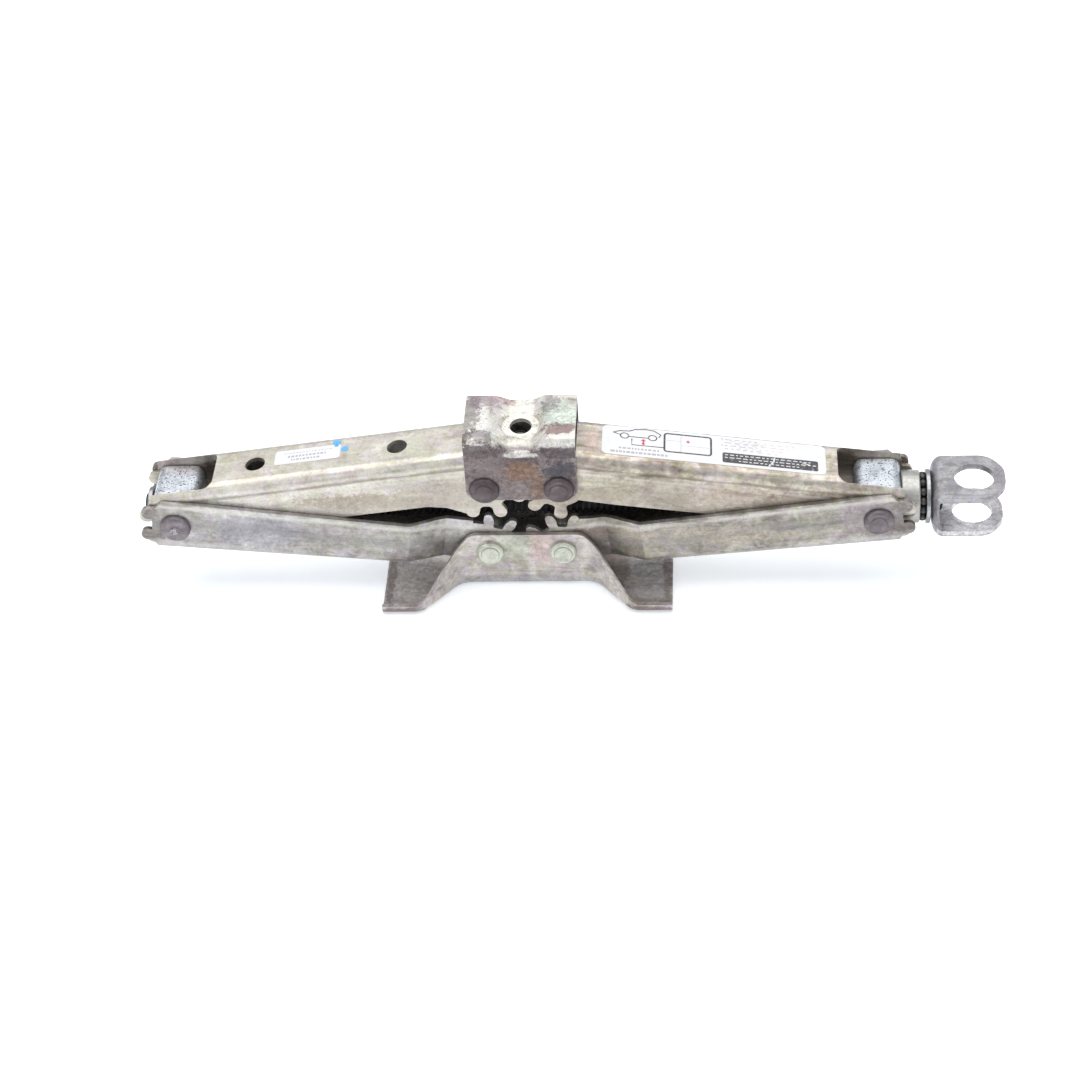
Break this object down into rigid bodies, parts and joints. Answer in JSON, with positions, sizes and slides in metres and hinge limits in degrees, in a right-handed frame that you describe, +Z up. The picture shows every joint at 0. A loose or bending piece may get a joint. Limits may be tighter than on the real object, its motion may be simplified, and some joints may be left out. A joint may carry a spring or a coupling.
{
  "type": "scissor jack",
  "caption": "Folded scissor jack: four pressed channel arms geared at base and saddle, spread by a lead screw with a thrust bearing and a two-eared crank lug.",
  "frame": {"origin": "centre of the base plate's underside, on the surface the jack stands on", "axes": "+X along the lead screw towards the crank lug, +Y across the jack towards its rear, +Z up"},
  "size_m": [0.4217, 0.071, 0.0963],
  "materials": {
    "zinc_upper": "worn yellow zinc plate",
    "zinc_lower": "worn grey zinc plate",
    "zinc_base": "worn zinc plate with pink and green tints",
    "saddle_steel": "heavily worn, dark patina and rust",
    "rivet_dark": "dark patina",
    "rivet_light": "zinc plate",
    "rivet_grey": "worn grey steel",
    "block_galvanised": "bright galvanised",
    "bearing_steel": "oiled steel",
    "screw_steel": "greased dark steel",
    "lug_steel": "grey zinc plate",
    "paper_label": "printed film label"
  },
  "bodies": {
    "base": {"base_plate": "zinc_base", "base_rivet_left": "rivet_light", "base_rivet_right": "rivet_light"},
    "lower_left": {"lower_arm_left": "zinc_lower"},
    "nut": {"trunnion_nut": "block_galvanised", "nut_retainer_front": "rivet_grey", "nut_retainer_rear": "rivet_grey"},
    "upper_left": {"upper_arm_left": "zinc_upper", "small_label": "paper_label"},
    "saddle": {"saddle": "saddle_steel", "saddle_rivet_left": "rivet_dark", "saddle_rivet_right": "rivet_dark"},
    "lower_right": {"lower_arm_right": "zinc_lower"},
    "bearing": {"trunnion_bearing": "block_galvanised", "bearing_pin_front": "rivet_grey", "bearing_pin_rear": "rivet_grey", "thrust_sleeve": "block_galvanised", "thrust_balls": "bearing_steel"},
    "upper_right": {"upper_arm_right": "zinc_upper", "instruction_label": "paper_label"},
    "screw": {"lead_screw": "screw_steel", "screw_end_stop": "bearing_steel", "thrust_washer": "bearing_steel", "crank_lug": "lug_steel"}
  },
  "joints": [
    {"name": "lower_left_fold", "type": "hinge", "parent": "base", "child": "lower_left", "pos_m": [-0.018, 0, 0.022], "axis": [0, 1, 0], "range_deg": [0, 57]},
    {"name": "nut_turn", "type": "hinge", "parent": "lower_left", "child": "nut", "pos_m": [-0.17145, 0, 0.04384], "axis": [0, 1, 0], "range_deg": [-57, 0]},
    {"name": "upper_left_fold", "type": "hinge", "parent": "lower_left", "child": "upper_left", "pos_m": [-0.17145, 0, 0.04384], "axis": [0, 1, 0], "range_deg": [-114, 0]},
    {"name": "saddle_level", "type": "hinge", "parent": "upper_left", "child": "saddle", "pos_m": [-0.018, 0, 0.06568], "axis": [0, 1, 0], "range_deg": [0, 57]},
    {"name": "lower_right_fold", "type": "hinge", "parent": "base", "child": "lower_right", "pos_m": [0.018, 0, 0.022], "axis": [0, 1, 0], "range_deg": [-57, 0]},
    {"name": "bearing_turn", "type": "hinge", "parent": "lower_right", "child": "bearing", "pos_m": [0.17145, 0, 0.04384], "axis": [0, 1, 0], "range_deg": [0, 57]},
    {"name": "upper_right_fold", "type": "hinge", "parent": "lower_right", "child": "upper_right", "pos_m": [0.17145, 0, 0.04384], "axis": [0, 1, 0], "range_deg": [0, 114]},
    {"name": "screw_spin", "type": "hinge", "parent": "bearing", "child": "screw", "pos_m": [0.17145, 0, 0.04384], "axis": [1, 0, 0], "continuous": true}
  ],
  "couplings": [
    {"joint": "nut_turn", "follows": "lower_left_fold", "ratio": -1},
    {"joint": "upper_left_fold", "follows": "lower_left_fold", "ratio": -2},
    {"joint": "saddle_level", "follows": "lower_left_fold", "ratio": 1},
    {"joint": "lower_right_fold", "follows": "lower_left_fold", "ratio": -1},
    {"joint": "bearing_turn", "follows": "lower_left_fold", "ratio": 1},
    {"joint": "upper_right_fold", "follows": "lower_left_fold", "ratio": 2}
  ]
}
